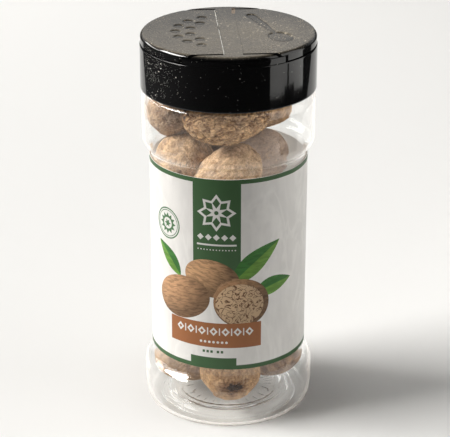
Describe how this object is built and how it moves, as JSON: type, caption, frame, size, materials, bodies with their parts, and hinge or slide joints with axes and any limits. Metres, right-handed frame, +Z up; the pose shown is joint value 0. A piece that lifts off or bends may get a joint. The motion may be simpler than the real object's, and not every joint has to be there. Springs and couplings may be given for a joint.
{
  "type": "jar of whole nutmegs",
  "caption": "Clear round spice jar filled with whole nutmegs, with a wrap-around label and a black cap that has two hinged flaps, one over sifting holes and one over a spoon opening.",
  "frame": {"origin": "middle of the ring that the jar stands on", "axes": "+Z up along the jar, -Y towards the middle of the label, +X to the right as the label is read"},
  "size_m": [0.056, 0.056, 0.127],
  "materials": {
    "clear_plastic": "clear glossy PET",
    "label_film": "satin printed film, warm white with green and brown fields",
    "nutmeg_shell": "dry, dull and wrinkled",
    "black_plastic": "glossy black, lightly dusted"
  },
  "bodies": {
    "jar_body": {"jar": "clear_plastic", "label": "label_film", "nutmegs": "nutmeg_shell", "cap": "black_plastic"},
    "sift_lid": {"sift_flap": "black_plastic"},
    "spoon_lid": {"spoon_flap": "black_plastic"}
  },
  "joints": [
    {"name": "sift_flap_hinge", "type": "hinge", "parent": "jar_body", "child": "sift_lid", "pos_m": [-0.00282, -0.00068, 0.127], "axis": [-0.2334, 0.9724, 0], "range_deg": [0, 95]},
    {"name": "spoon_flap_hinge", "type": "hinge", "parent": "jar_body", "child": "spoon_lid", "pos_m": [0.00282, 0.00068, 0.127], "axis": [0.2334, -0.9724, 0], "range_deg": [0, 95]}
  ]
}
